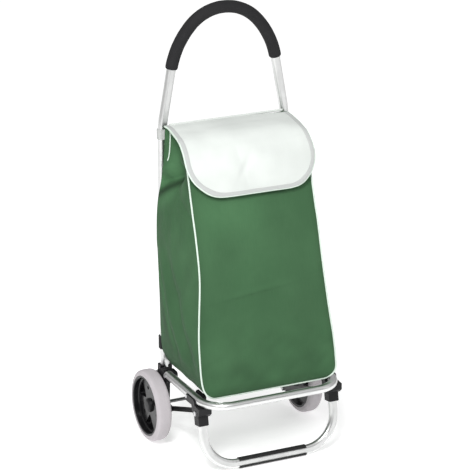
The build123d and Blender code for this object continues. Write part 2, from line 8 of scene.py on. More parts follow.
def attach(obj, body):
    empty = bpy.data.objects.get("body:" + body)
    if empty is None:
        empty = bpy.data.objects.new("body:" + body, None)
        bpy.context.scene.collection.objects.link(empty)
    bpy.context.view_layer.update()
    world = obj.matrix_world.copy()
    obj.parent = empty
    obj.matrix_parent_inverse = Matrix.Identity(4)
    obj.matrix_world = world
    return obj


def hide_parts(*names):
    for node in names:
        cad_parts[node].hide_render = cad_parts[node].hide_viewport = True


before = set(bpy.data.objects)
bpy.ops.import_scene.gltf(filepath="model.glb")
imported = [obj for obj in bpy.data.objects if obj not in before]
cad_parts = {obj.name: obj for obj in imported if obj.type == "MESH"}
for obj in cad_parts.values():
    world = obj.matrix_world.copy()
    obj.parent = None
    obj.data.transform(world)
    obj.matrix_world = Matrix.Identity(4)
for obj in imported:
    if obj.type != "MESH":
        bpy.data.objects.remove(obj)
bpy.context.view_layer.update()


# ------------------------------------------------------------------ small helpers
def clear():
    if bpy.context.object and bpy.context.object.mode != "OBJECT":
        bpy.ops.object.mode_set(mode="OBJECT")
    bpy.ops.object.select_all(action="DESELECT")


def only(piece):
    clear()
    piece.select_set(True)
    bpy.context.view_layer.objects.active = piece


def grid(name, columns, rows):
    """A flat grid whose x and y run from 0 to 1, to be shaped into a sheet."""
    clear()
    bpy.ops.mesh.primitive_grid_add(x_subdivisions=columns, y_subdivisions=rows, size=1,
                                    location=(0.5, 0.5, 0), calc_uvs=True)
    piece = bpy.context.object
    piece.name = name
    bpy.ops.object.transform_apply(location=True, rotation=True, scale=True)
    return piece


def lay(piece, place, size_u=1.0, size_v=1.0):
    """Move each point of a grid to its place on the sheet, and size its UVs in metres."""
    uv = piece.data.uv_layers.active
    for loop in piece.data.loops:
        co = piece.data.vertices[loop.vertex_index].co
        uv.data[loop.index].uv = (co.x * size_u, co.y * size_v)
    for v in piece.data.vertices:
        v.co = Vector(place(v.co.x, v.co.y))
    piece.data.update()


def weld(piece, distance=0.00002):
    only(piece)
    bpy.ops.object.mode_set(mode="EDIT")
    bpy.ops.mesh.select_all(action="SELECT")
    bpy.ops.mesh.remove_doubles(threshold=distance)
    bpy.ops.mesh.normals_make_consistent(inside=False)
    bpy.ops.object.mode_set(mode="OBJECT")


def wall(piece, thickness, offset=-1.0):
    only(piece)
    m = piece.modifiers.new("wall", "SOLIDIFY")
    m.thickness = thickness
    m.offset = offset
    m.use_even_offset = True
    bpy.ops.object.modifier_apply(modifier=m.name)


def smooth(piece, angle=40):
    only(piece)
    bpy.ops.object.shade_smooth_by_angle(angle=math.radians(angle))


def piped(name, points, radius):
    """A round cord sewn along a line of points, as a mesh."""
    curve = bpy.data.curves.new(name, "CURVE")
    curve.dimensions = "3D"
    curve.bevel_depth = radius
    curve.bevel_resolution = 5
    curve.use_fill_caps = True
    line = curve.splines.new("NURBS")
    line.points.add(len(points) - 1)
    for p, co in zip(line.points, points):
        p.co = (*co, 1)
    line.use_endpoint_u = True
    line.order_u = 3
    line.resolution_u = 4
    holder = bpy.data.objects.new(name, curve)
    bpy.context.scene.collection.objects.link(holder)
    only(holder)
    bpy.ops.object.convert(target="MESH")
    piece = bpy.context.object
    smooth(piece, 60)
    return piece


def step(a, b, x):
    t = min(1.0, max(0.0, (x - a) / (b - a)))
    return t * t * (3 - 2 * t)


def bump(x, centre, width):
    return math.exp(-((x - centre) / width) ** 2)


# ------------------------------------------------------------------ materials
def group(name, inputs, outputs):
    g = bpy.data.node_groups.new(name, "ShaderNodeTree")
    for label, kind, value in inputs:
        s = g.interface.new_socket(label, in_out="INPUT", socket_type=kind)
        if value is not None:
            s.default_value = value
    for label, kind in outputs:
        g.interface.new_socket(label, in_out="OUTPUT", socket_type=kind)
    return g, g.nodes.new("NodeGroupInput"), g.nodes.new("NodeGroupOutput")


def math_node(tree, op, a, b=None, c=None):
    n = tree.nodes.new("ShaderNodeMath")
    n.operation = op
    for i, v in enumerate((a, b, c)):
        if v is None:
            continue
        if hasattr(v, "links"):
            tree.links.new(v, n.inputs[i])
        else:
            n.inputs[i].default_value = v
    return n.outputs[0]


def make_weave_group():
    """Plain weave from the UV map: height, and a tone that varies from thread to thread."""
    g, gi, go = group("plain weave", [("Vector", "NodeSocketVector", None),
                                      ("Threads per metre", "NodeSocketFloat", 1600.0),
                                      ("Slub", "NodeSocketFloat", 0.5)],
                      [("Height", "NodeSocketFloat"), ("Tone", "NodeSocketFloat")])
    sep = g.nodes.new("ShaderNodeSeparateXYZ")
    g.links.new(gi.outputs["Vector"], sep.inputs[0])
    u = math_node(g, "MULTIPLY", sep.outputs[0], gi.outputs["Threads per metre"])
    v = math_node(g, "MULTIPLY", sep.outputs[1], gi.outputs["Threads per metre"])
    warp = math_node(g, "ABSOLUTE", math_node(g, "SINE", math_node(g, "MULTIPLY", u, math.pi)))
    weft = math_node(g, "ABSOLUTE", math_node(g, "SINE", math_node(g, "MULTIPLY", v, math.pi)))
    crossing = math_node(g, "ADD", math_node(g, "FLOOR", u), math_node(g, "FLOOR", v))
    parity = math_node(g, "MODULO", crossing, 2.0)
    parity = math_node(g, "ABSOLUTE", parity)
    mix = g.nodes.new("ShaderNodeMix")
    g.links.new(parity, mix.inputs["Factor"])
    g.links.new(warp, mix.inputs["A"])
    g.links.new(weft, mix.inputs["B"])
    g.links.new(mix.outputs["Result"], go.inputs["Height"])
    cells = g.nodes.new("ShaderNodeCombineXYZ")
    g.links.new(math_node(g, "MULTIPLY", sep.outputs[0], 900.0), cells.inputs[0])
    g.links.new(math_node(g, "MULTIPLY", sep.outputs[1], 25.0), cells.inputs[1])
    slub = g.nodes.new("ShaderNodeTexNoise")
    slub.inputs["Scale"].default_value = 1.0
    slub.inputs["Detail"].default_value = 2.0
    g.links.new(cells.outputs[0], slub.inputs["Vector"])
    tone = math_node(g, "MULTIPLY_ADD", math_node(g, "SUBTRACT", slub.outputs[0], 0.5),
                     gi.outputs["Slub"], 1.0)
    g.links.new(tone, go.inputs["Tone"])
    return g


def make_grain_group():
    """Fine moulded or foamed grain: height and a slight change of tone."""
    g, gi, go = group("fine grain", [("Vector", "NodeSocketVector", None),
                                     ("Scale", "NodeSocketFloat", 900.0)],
                      [("Height", "NodeSocketFloat"), ("Tone", "NodeSocketFloat")])
    cells = g.nodes.new("ShaderNodeTexVoronoi")
    g.links.new(gi.outputs["Vector"], cells.inputs["Vector"])
    g.links.new(gi.outputs["Scale"], cells.inputs["Scale"])
    cloud = g.nodes.new("ShaderNodeTexNoise")
    cloud.inputs["Scale"].default_value = 35.0
    cloud.inputs["Detail"].default_value = 4.0
    g.links.new(gi.outputs["Vector"], cloud.inputs["Vector"])
    g.links.new(cells.outputs["Distance"], go.inputs["Height"])
    g.links.new(cloud.outputs[0], go.inputs["Tone"])
    return g


def make_wear_group():
    """Light handling: where dust and small scuffs settle."""
    g, gi, go = group("handling", [("Vector", "NodeSocketVector", None),
                                   ("Scale", "NodeSocketFloat", 12.0),
                                   ("Amount", "NodeSocketFloat", 0.5)],
                      [("Mask", "NodeSocketFloat")])
    cloud = g.nodes.new("ShaderNodeTexNoise")
    cloud.inputs["Detail"].default_value = 6.0
    cloud.inputs["Roughness"].default_value = 0.65
    g.links.new(gi.outputs["Vector"], cloud.inputs["Vector"])
    g.links.new(gi.outputs["Scale"], cloud.inputs["Scale"])
    ramp = g.nodes.new("ShaderNodeMapRange")
    ramp.inputs["From Min"].default_value = 0.42
    ramp.inputs["From Max"].default_value = 0.72
    g.links.new(cloud.outputs[0], ramp.inputs["Value"])
    g.links.new(math_node(g, "MULTIPLY", ramp.outputs[0], gi.outputs["Amount"]), go.inputs["Mask"])
    return g


WEAVE, GRAIN, HANDLING = make_weave_group(), make_grain_group(), make_wear_group()


def material(name, roughness, metallic=0.0, sheen=0.0, specular=0.5):
    m = bpy.data.materials.new(name)
    m.use_nodes = True
    t = m.node_tree
    shader = t.nodes["Principled BSDF"]
    shader.inputs["Roughness"].default_value = roughness
    shader.inputs["Metallic"].default_value = metallic
    shader.inputs["Sheen Weight"].default_value = sheen
    shader.inputs["Sheen Roughness"].default_value = 0.4
    shader.inputs["Specular IOR Level"].default_value = specular
    return m, t, shader


def placed(t, g, **values):
    n = t.nodes.new("ShaderNodeGroup")
    n.node_tree = g
    for key, value in values.items():
        n.inputs[key.replace("_", " ")].default_value = value
    return n


def tint(t, factor, low, high):
    """A colour between two shades, by a mask."""
    n = t.nodes.new("ShaderNodeMix")
    n.data_type = "RGBA"
    n.inputs["A"].default_value = (*low, 1)
    n.inputs["B"].default_value = (*high, 1)
    t.links.new(factor, n.inputs["Factor"])
    return n.outputs["Result"]


def raise_by(t, shader, height, distance, strength=1.0):
    n = t.nodes.new("ShaderNodeBump")
    n.inputs["Strength"].default_value = strength
    n.inputs["Distance"].default_value = distance
    t.links.new(height, n.inputs["Height"])
    t.links.new(n.outputs[0], shader.inputs["Normal"])
    return n


def cloth(name, low, high, roughness=0.75, sheen=0.25, threads=1500.0, relief=0.00012, slub=0.35):
    m, t, shader = material(name, roughness, sheen=sheen, specular=0.2)
    uv = t.nodes.new("ShaderNodeUVMap")
    weave = placed(t, WEAVE, Threads_per_metre=threads, Slub=slub)
    t.links.new(uv.outputs[0], weave.inputs["Vector"])
    place = t.nodes.new("ShaderNodeTexCoord")
    worn = placed(t, HANDLING, Scale=7.0, Amount=0.6)
    t.links.new(place.outputs["Object"], worn.inputs["Vector"])
    colour = tint(t, worn.outputs["Mask"], low, high)
    dark = t.nodes.new("ShaderNodeMix")
    dark.data_type = "RGBA"
    dark.blend_type = "MULTIPLY"
    dark.inputs["Factor"].default_value = 1.0
    t.links.new(colour, dark.inputs["A"])
    painted_shade = t.nodes.new("ShaderNodeAttribute")          # painted light and shade: paler on ridges, darker in creases
    painted_shade.attribute_name = "painted_shade"
    painted_shade_factor = math_node(t, "ADD", painted_shade.outputs["Fac"], 1.0)
    t.links.new(math_node(t, "MULTIPLY", weave.outputs["Tone"], painted_shade_factor), dark.inputs["B"])
    t.links.new(dark.outputs["Result"], shader.inputs["Base Color"])
    raise_by(t, shader, weave.outputs["Height"], relief, 0.6)
    return m


def moulded(name, low, high, roughness, scale=1100.0, relief=0.00006, specular=0.5):
    m, t, shader = material(name, roughness, specular=specular)
    place = t.nodes.new("ShaderNodeTexCoord")
    grain = placed(t, GRAIN, Scale=scale)
    t.links.new(place.outputs["Object"], grain.inputs["Vector"])
    t.links.new(tint(t, grain.outputs["Tone"], low, high), shader.inputs["Base Color"])
    worn = placed(t, HANDLING, Scale=18.0, Amount=0.25)
    t.links.new(place.outputs["Object"], worn.inputs["Vector"])
    rough = math_node(t, "MULTIPLY_ADD", worn.outputs["Mask"], 0.6, roughness)
    t.links.new(rough, shader.inputs["Roughness"])
    raise_by(t, shader, grain.outputs["Height"], relief, 0.5)
    return m


def metal(name, low, high, roughness):
    m, t, shader = material(name, roughness, metallic=1.0)
    place = t.nodes.new("ShaderNodeTexCoord")
    worn = placed(t, HANDLING, Scale=25.0, Amount=0.5)
    t.links.new(place.outputs["Object"], worn.inputs["Vector"])
    t.links.new(tint(t, worn.outputs["Mask"], low, high), shader.inputs["Base Color"])
    rough = math_node(t, "MULTIPLY_ADD", worn.outputs["Mask"], 0.25, roughness)
    t.links.new(rough, shader.inputs["Roughness"])
    grain = placed(t, GRAIN, Scale=2600.0)
    t.links.new(place.outputs["Object"], grain.inputs["Vector"])
    raise_by(t, shader, grain.outputs["Height"], 0.00002, 0.25)
    return m


bag_green = cloth("bag green", (0.039, 0.102, 0.0445), (0.053, 0.126, 0.058), 0.75, 0.02, slub=0.22)
flap_white = cloth("flap white", (0.60, 0.63, 0.605), (0.65, 0.68, 0.655), 0.5, 0.05, relief=0.00005,
                   slub=0.04)
tape_grey = cloth("binding grey", (0.44, 0.455, 0.445), (0.50, 0.515, 0.505), 0.7, 0.1, threads=900.0,
                  slub=0.1)
piping_white = cloth("piping white", (0.60, 0.70, 0.62), (0.68, 0.77, 0.69), 0.6, 0.1, threads=900.0,
                     slub=0.1)
web_black = cloth("black webbing", (0.012, 0.012, 0.013), (0.024, 0.024, 0.025), 0.8, 0.1, threads=700.0,
                  relief=0.0003)
tab_pale = cloth("pale tab", (0.44, 0.45, 0.44), (0.50, 0.51, 0.50), 0.7, 0.1, threads=900.0, slub=0.1)
tube_silver = metal("anodised tube", (0.71, 0.715, 0.71), (0.61, 0.615, 0.61), 0.30)
zinc = metal("zinc steel", (0.58, 0.58, 0.59), (0.46, 0.46, 0.47), 0.3)
dark_steel = metal("dark axle steel", (0.16, 0.16, 0.165), (0.22, 0.22, 0.22), 0.35)
foam_black = moulded("grip foam", (0.010, 0.010, 0.011), (0.017, 0.017, 0.018), 0.8, scale=650.0,
                     relief=0.0004, specular=0.25)
plastic_black = moulded("black moulding", (0.006, 0.006, 0.007), (0.012, 0.012, 0.013), 0.4, specular=0.25)
hub_black = moulded("gloss hub", (0.004, 0.004, 0.0045), (0.008, 0.008, 0.009), 0.16, relief=0.00002,
                    specular=0.3)
strut_black = moulded("strut paint", (0.012, 0.012, 0.013), (0.020, 0.020, 0.021), 0.4, relief=0.00003)
rubber_black = moulded("foot rubber", (0.010, 0.010, 0.010), (0.018, 0.018, 0.018), 0.65, scale=800.0,
                       specular=0.3)
tyre_pale = moulded("pale tyre", (0.44, 0.41, 0.43), (0.52, 0.49, 0.51), 0.6, scale=500.0, relief=0.0002)
nylon = moulded("nylon bush", (0.70, 0.70, 0.67), (0.76, 0.76, 0.73), 0.45)
board_black = moulded("base board", (0.03, 0.03, 0.03), (0.05, 0.05, 0.05), 0.6)

finishes = {
    "handle_tube": tube_silver, "base_loop": tube_silver, "stand_tube": tube_silver,
    "handle_grip": foam_black, "foot_pad": rubber_black, "axle": dark_steel,
    "strut_left": strut_black, "strut_right": strut_black, "bag_board": board_black,
}
for name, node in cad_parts.items():
    finish = finishes.get(name)
    if finish is None:
        for start, choice in (("rear_bracket", plastic_black), ("stand_bracket", plastic_black),
                              ("stand_socket", plastic_black), ("hub_cap", plastic_black),
                              ("hub_", hub_black), ("tyre", tyre_pale), ("bush", nylon),
                              ("bag_strap_high", tab_pale), ("bag_strap", web_black),
                              ("bag_shell", bag_green),
                              ("bag_piping", piping_white), ("flap_binding", tape_grey),
                              ("flap", flap_white)):
            if name.startswith(start):
                finish = choice
                break
        else:
            finish = zinc
    node.data.materials.clear()
    node.data.materials.append(finish)
    if name.startswith(("rear_bracket", "stand_bracket", "stand_socket", "hub_", "foot_pad", "strut_left",
                        "strut_right")):
        edge = node.modifiers.new("edge", "BEVEL")       # moulded and cut edges are never sharp
        edge.width = 0.0007
        edge.segments = 2
        edge.limit_method = "ANGLE"
        edge.angle_limit = math.radians(42)

# ------------------------------------------------------------------ bag
# height, front half width, rear half width, front y
BAG = [(0.1727, 0.134, 0.132, -0.1305), (0.178, 0.1475, 0.144, -0.1355), (0.192, 0.1605, 0.153, -0.1350),
       (0.215, 0.1645, 0.163, -0.1275), (0.264, 0.1640, 0.1665, -0.1165), (0.307, 0.1612, 0.167, -0.1060),
       (0.350, 0.1572, 0.168, -0.0988), (0.440, 0.1495, 0.1725, -0.0860), (0.524, 0.1480, 0.173, -0.0645),
       (0.575, 0.1475, 0.169, -0.0470), (0.640, 0.1470, 0.157, -0.0270), (0.700, 0.1460, 0.152, -0.0080),
       (0.750, 0.1460, 0.150, 0.0060)]
BOTTOM = BAG[0][0]
BAG_BACK = 0.0955
RIM_FRONT, RIM_BACK = 0.712, 0.737


def bag_level(z):
    """Front half width, rear half width and front y at a height, eased between levels."""
    z = min(max(z, BAG[0][0]), BAG[-1][0])
    for i in range(len(BAG) - 1):
        if z <= BAG[i + 1][0]:
            break
    p0, p1, p2, p3 = (BAG[max(i - 1, 0)], BAG[i], BAG[i + 1], BAG[min(i + 2, len(BAG) - 1)])
    t = (z - p1[0]) / (p2[0] - p1[0])
    out = []
    for k in (1, 2, 3):
        m1 = (p2[k] - p0[k]) / max(p2[0] - p0[0], 1e-6) * (p2[0] - p1[0])
        m2 = (p3[k] - p1[k]) / max(p3[0] - p1[0], 1e-6) * (p2[0] - p1[0])
        out.append((2 * t ** 3 - 3 * t * t + 1) * p1[k] + (t ** 3 - 2 * t * t + t) * m1
                   + (3 * t * t - 2 * t ** 3) * p2[k] + (t ** 3 - t * t) * m2)
    return out


def ripple(x, z, seed, size):
    return noise.noise(Vector((x / size, z / size, seed)))


def gusset(s, z, side):
    """How far the side panel stands out at s, 0 at its front seam and 1 at its back seam."""
    arch = math.sin(math.pi * s)
    out = 0.010 * arch * step(0.21, 0.34, z) * (1 - step(0.50, 0.64, z))
    # the panel folds inwards on a crease that deepens towards the rim
    out -= 0.060 * step(0.560, 0.735, z) * max(0.0, 1 - abs(s - 0.56) / 0.46) ** 1.9
    # pinched crease running down and back below the fold, with a soft ridge over it
    across = z - (0.672 - 0.062 * s)
    fade = step(0.10, 0.30, s) * (1 - step(0.90, 1.0, s))
    out -= 0.0200 * math.exp(-abs(across) / 0.013) * fade
    out += 0.0100 * bump(across, 0.028, 0.016) * fade
    out += 0.0035 * bump(across, -0.030, 0.020) * fade
    # second, fainter pull from the front seam
    pull = z - (0.560 + 0.10 * s)
    out -= 0.0035 * math.exp(-abs(pull) / 0.010) * (1 - step(0.45, 0.75, s)) * step(0.02, 0.12, s)
    # long standing folds in the lower half, drifting forwards as they fall
    lower = step(0.205, 0.260, z) * (1 - step(0.415, 0.50, z))
    line = 0.68 - 2.05 * (0.375 - z)
    out += lower * (0.0066 * bump(s, line, 0.085) - 0.0052 * bump(s, line - 0.19, 0.075)
                    - 0.0045 * bump(s, line + 0.17, 0.070) + 0.0030 * bump(s, line - 0.36, 0.09))
    out += 0.0030 * ripple(0.35 * (z - 0.2) + s * 0.23, z * 0.35, 11.0 + side, 0.045) * arch
    out += 0.0011 * ripple(s * 0.23, z, 21.0 + side, 0.022) * arch
    return out


def bag_wall(u, z):
    """Point on the upright walls; u runs once round from the front left corner."""
    front, rear, y0 = bag_level(z)
    y1 = BAG_BACK
    low = step(0.1727, 0.200, z)
    if u < 0.30:                                    # front panel, left to right
        s = u / 0.30
        x = -front + 2 * front * s
        arch = math.sin(math.pi * s)
        crown = 0.0040 * arch ** 0.7 * low
        crease = 0.0016 * math.exp(-abs(z - 0.389 - 0.10 * (x + 0.03)) / 0.006) * bump(x, -0.035, 0.062)
        slack = 0.0030 * ripple(x + 0.35 * z, z * 1.1, 1.7, 0.075) * (0.35 + 0.65 * (1 - step(0.26, 0.42, z)))
        sweep = 0.0022 * math.sin((x * 0.75 + z) * 46.0) * (1 - step(0.24, 0.32, z)) * step(0.18, 0.21, z)
        fine = 0.0007 * ripple(x, z, 8.2, 0.030)
        return Vector((x, y0 - crown + (crease - slack - sweep * 0.5 - fine) * arch * low, z))
    if u < 0.52:                                    # right side, front to back
        s, side = (u - 0.30) / 0.22, 1
    elif u < 0.78:                                  # back panel, right to left
        s = (u - 0.52) / 0.26
        x = rear - 2 * rear * s
        sag = 0.002 * math.sin(math.pi * s) * ripple(x, z, 5.0, 0.1)
        return Vector((x, y1 - abs(sag) - 0.008 * (1 - step(0.1727, 0.192, z)), z))
    else:                                           # left side, back to front
        s, side = 1 - (u - 0.78) / 0.22, -1
    half = front + (rear - front) * s
    y = y0 + (y1 - 0.008 * (1 - step(0.1727, 0.192, z)) - y0) * s
    return Vector((side * (half + gusset(s, z, side)), y, z))


def rim_height(y):
    """Height of the bag's upper edge, which rises towards the back."""
    return RIM_FRONT + (RIM_BACK - RIM_FRONT) * min(1.0, max(0.0, (y + 0.01) / 0.105))


def bag_point(u, v):
    """v runs from the middle of the bottom (0) over the edge and up to the rim (1)."""
    u = u % 1.0
    if v < 0.16:
        t = v / 0.16
        edge = bag_wall(u, BOTTOM)
        centre = Vector((0, -0.022, BOTTOM))
        p = centre.lerp(edge, 0.02 + 0.98 * t)
        p.z = BOTTOM + 0.0006 * ripple(p.x, p.y, 2.0, 0.05)
        return p
    t = (v - 0.16) / 0.84
    low = bag_wall(u, BOTTOM)
    rim = rim_height(bag_wall(u, rim_height(low.y)).y)
    t = t ** 1.12
    return bag_wall(u, BOTTOM + (rim - BOTTOM) * t)


def paint_light_and_shade(piece, tone):
    """Store the painted light and shade at each point: how much paler or darker the cloth's colour is
    painted.
    """
    layer = piece.data.attributes.new("painted_shade", "FLOAT", "POINT")
    for i, v in enumerate(piece.data.vertices):
        layer.data[i].value = tone(v.co)


# painted light and shade for the bag cloth, as paler or darker tone per point, with some patchy tone mixed in
def bag_painted_shade(p):
    x, y, z = p
    front, _, y0 = bag_level(z)
    if abs(x) < front - 0.002 and y < y0 + 0.012:      # front panel
        # painted highlight: a pale patch on the front panel below the flap's left part, and a fainter one
        # lower in the middle
        out = 0.34 * bump(z, 0.575, 0.062) * bump(x, -0.060, 0.085)
        out += 0.10 * bump(z, 0.44, 0.08) * bump(x, 0.03, 0.12)
        # painted shadow of the flap along the line just under its lower edge
        out -= 0.30 * bump(z - 0.606 - 22.0 * max(0.0, abs(x) - 0.07) ** 2, 0.0, 0.010)
        # painted shade in the low horizontal crease, with a painted highlight just above it
        line = z - 0.389 - 0.10 * (x + 0.03)
        out -= 0.24 * math.exp(-abs(line) / 0.0022) * bump(x, -0.02, 0.075)
        out += 0.10 * bump(line, 0.008, 0.008) * bump(x, -0.02, 0.075)
        # painted light and shade on the ripples of the slack lower front, then a patchy tone over the whole
        # panel
        low = 1 - step(0.24, 0.36, z)
        out += (0.16 * ripple(x + 0.5 * z, z * 1.4, 3.3, 0.055) + 0.10 * ripple(x - z, z, 9.1, 0.03)) * low
        out += 0.11 * ripple(x, z * 0.8, 5.5, 0.065)
        # painted shade darkening the front panel along its two upright corners
        out -= 0.13 * bump(abs(x), front, 0.012)
        return out
    if y > BAG_BACK - 0.004 and abs(x) < 0.12:
        return 0.08 * ripple(x, z, 4.4, 0.08)
    # painted shade in the fold under the rim, with painted highlights on the strips beside it
    out = -0.60 * bump(y, 0.036 + (z - 0.69) * 0.20, 0.013) * step(0.645, 0.685, z)
    out += 0.40 * bump(y, 0.064, 0.012) * step(0.60, 0.66, z)
    out += 0.22 * bump(y, 0.010, 0.012) * step(0.59, 0.64, z) * (1 - step(0.66, 0.70, z))
    # painted shade in the crease running down and back, with painted highlights on either side
    crease = z - (0.629 - (y - 0.036) * 0.773)
    reach = step(0.012, 0.040, y)
    out += (-0.58 * bump(crease, 0.0, 0.011) + 0.34 * bump(crease, 0.027, 0.012)
            + 0.16 * bump(crease, -0.028, 0.014)) * reach
    # painted shadow on the side panel just behind the front seam, under the flap
    out -= 0.42 * bump(y - y0, 0.010, 0.014) * step(0.60, 0.66, z)
    # painted highlight on the soft ridge in the lower side, with painted shade in the streaks beside it
    ridge = y - (0.019 + (z - 0.261) * 0.4556)
    window = step(0.225, 0.27, z) * (1 - step(0.36, 0.43, z))
    out += (0.26 * bump(ridge, 0.006, 0.009) - 0.40 * bump(ridge, -0.014, 0.011)
            - 0.20 * bump(ridge, 0.028, 0.012)) * window
    # painted shade: the side panels darker towards the bottom; then a patchy tone
    out -= 0.20 * (1 - step(0.19, 0.33, z))
    out += 0.14 * ripple(y, z * 0.5, 7.7, 0.028)
    return out


COLS, ROWS = 240, 190
bag = grid("bag_cloth", COLS, ROWS)
lay(bag, bag_point, size_u=1.13, size_v=0.72)
weld(bag, 0.0003)
# soften the four upright corners and the bottom edge
only(bag)
easing = bag.modifiers.new("ease", "SMOOTH")
easing.factor = 0.5
easing.iterations = 3
bpy.ops.object.modifier_apply(modifier=easing.name)
wall(bag, 0.0012)
smooth(bag, 60)
bag.data.materials.clear()
bag.data.materials.append(bag_green)
# painted light and shade of the folds, stored per point and read by the cloth material
paint_light_and_shade(bag, bag_painted_shade)
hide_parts("bag_shell")
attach(bag, "frame")

# ------------------------------------------------------------------ piping
def corner_line(u, nudge, low, high, count=26):
    pts = []
    for i in range(count):
        z = low + (high - low) * i / (count - 1)
        p = bag_wall(u, z)
        pts.append((p.x + nudge[0], p.y + nudge[1], z))
    return pts


def front_seam():
    left = corner_line(0.0, (-0.0006, -0.0006), 0.1745, 0.708, 60)
    y, z = left[0][1] + 0.0004, left[0][2] - 0.0006
    foot = [(left[0][0] * (1 - i / 12), y, z - 0.0004 * math.sin(math.pi * i / 12)) for i in range(1, 12)]
    right = [(-x, y, z) for x, y, z in left]
    return left[::-1] + foot + [(0, y, z)] + [(-x, y, z) for x, y, z in foot[::-1]] + right


seam = piped("bag_seam_piping", front_seam(), 0.0019)
seam.data.materials.append(piping_white)
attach(seam, "frame")
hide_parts("bag_piping")
for side, u in (("left", 0.78 + 0.22 * 0.15), ("right", 0.52 - 0.22 * 0.15)):
    nudge = -0.0007 if side == "left" else 0.0007
    back = piped(f"bag_back_piping_{side}", corner_line(u, (nudge, 0), 0.664, 0.732, 14), 0.0013)
    back.data.materials.append(piping_white)
    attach(back, "frame")

# ------------------------------------------------------------------ flap
FLAP = [(0.0915, 0.7390), (0.060, 0.7398), (0.007, 0.7345), (-0.020, 0.7160), (-0.038, 0.6860),
        (-0.047, 0.6560), (-0.0510, 0.632), (-0.0525, 0.608)]


def chain(points, t):
    """Point on a smooth line through the points, by share of its length."""
    lengths = [0.0]
    for a, b in zip(points[:-1], points[1:]):
        lengths.append(lengths[-1] + math.hypot(b[0] - a[0], b[1] - a[1]))
    d = t * lengths[-1]
    i = max(k for k in range(len(points) - 1) if lengths[k] <= d + 1e-12)
    p0, p1, p2, p3 = (points[max(i - 1, 0)], points[i], points[i + 1], points[min(i + 2, len(points) - 1)])
    s = (d - lengths[i]) / (lengths[i + 1] - lengths[i])
    out = []
    for k in (0, 1):
        out.append(0.5 * (2 * p1[k] + (p2[k] - p0[k]) * s
                          + (2 * p0[k] - 5 * p1[k] + 4 * p2[k] - p3[k]) * s * s
                          + (3 * p1[k] - p0[k] - 3 * p2[k] + p3[k]) * s ** 3))
    return out, lengths[-1]


FLAP_LENGTH = chain(FLAP, 1.0)[1]
# each lower corner is a quarter of an ellipse: width and height, left and right
CORNERS = {-1: (0.093, 0.086), 1: (0.068, 0.073)}


def flap_half(t, side):
    if side < 0:
        return 0.1510 + 0.0060 * step(0.05, 0.42, t)
    return 0.1490 - 0.0030 * bump(t, 0.36, 0.10) + 0.0050 * step(0.45, 0.72, t)


def flap_foot(x):
    """Share of the flap's length at which its lower edge lies, at a distance x from the middle."""
    side = -1 if x < 0 else 1
    a, b = CORNERS[side]
    half = flap_half(1 - b / FLAP_LENGTH, side)
    slope = 1 + 0.030 * x                             # hangs a little lower on the right
    d = max(0.0, abs(x) - (half - a)) / a
    return slope - b / FLAP_LENGTH * (1 - math.sqrt(max(0.0, 1 - d * d)))


def flap_surface(x, t, lift=0.0):
    """Point at x across and t down the flap, raised off its face by lift."""
    c = min(max(t, 0.0), 1.0)
    (y, z), _ = chain(FLAP, c)
    (ya, za), _ = chain(FLAP, max(0.0, c - 0.012))
    (yb, zb), _ = chain(FLAP, min(1.0, c + 0.012))
    n = Vector((0, zb - za, ya - yb)).normalized()
    if n.z < 0 and c < 0.3 or n.y > 0 and c > 0.6:
        n = -n
    free = step(0.02, 0.25, c)
    soft = 0.0022 * ripple(x, c * 0.36, 6.3, 0.085) * free + 0.0006 * ripple(x, c * 0.36, 3.1, 0.03) * free
    crease = math.exp(-abs(x + 0.028 - 0.05 * (c - 0.7)) / 0.010)
    soft -= 0.0016 * crease * step(0.45, 0.65, c) * (1 - step(0.9, 1.0, c))
    curl = 0.0045 * (abs(x) / 0.155) ** 4 * free
    droop = 0.0055 * max(0.0, x / 0.15) ** 2.5 * (1 - step(0.3, 0.7, c))
    p = Vector((x, y, z - droop)) + n * (soft + lift - curl)
    if t > 1.0:
        p.z -= (t - 1.0) * FLAP_LENGTH
    return p


def flap_point(u, v):
    w = 0.5 - 0.5 * math.cos(math.pi * u)
    side = -1 if w < 0.5 else 1
    x = (2 * w - 1) * 0.155
    for _ in range(3):                                # the side edges lean with t
        t = v * flap_foot(x)
        x = (2 * w - 1) * flap_half(t, side)
    return flap_surface(x, t)


flap = grid("flap_cloth", 110, 90)
lay(flap, flap_point, size_u=0.31, size_v=FLAP_LENGTH)
weld(flap, 0.00001)
wall(flap, 0.0022, offset=0.0)
smooth(flap, 50)
flap.data.materials.clear()
flap.data.materials.append(flap_white)
# patchy tone on the flap, with painted shade in its diagonal crease and a painted highlight just beside it
paint_light_and_shade(flap, lambda p: 0.05 * ripple(p.x, p.z, 2.2, 0.035) + 0.05 * ripple(p.x + p.z, p.z, 6.1, 0.07)
            - 0.09 * bump(p.x - 0.6 * (p.z - 0.67), -0.025, 0.006) * bump(p.z, 0.668, 0.024)
            + 0.05 * bump(p.x - 0.6 * (p.z - 0.67), -0.011, 0.008) * bump(p.z, 0.668, 0.024))
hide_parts("flap_panel")
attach(flap, "flap")


EDGE_STEPS = 240


